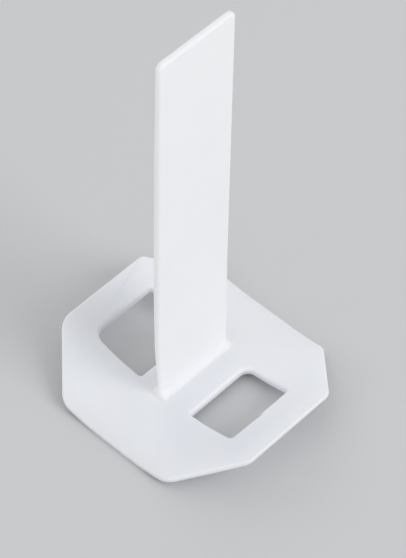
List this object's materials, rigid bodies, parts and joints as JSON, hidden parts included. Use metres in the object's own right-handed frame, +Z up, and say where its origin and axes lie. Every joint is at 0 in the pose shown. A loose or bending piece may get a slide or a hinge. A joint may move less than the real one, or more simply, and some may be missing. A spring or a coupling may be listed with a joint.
{
  "type": "tile levelling clip",
  "caption": "Octagonal base plate with upcurved wings, slightly drooping ends and two windows, and a tall flat blade that stands in the joint between tiles and snaps off just above its sloping foot.",
  "frame": {"origin": "under the middle of the base plate, at the height the clip rests on", "axes": "+Z up along the blade, +X along the blade's width, +Y across the blade through the windows"},
  "size_m": [0.04, 0.044, 0.0836],
  "materials": {
    "white_plastic": "white moulded polypropylene, satin"
  },
  "bodies": {
    "root": {"levelling_clip": "white_plastic"}
  },
  "joints": []
}
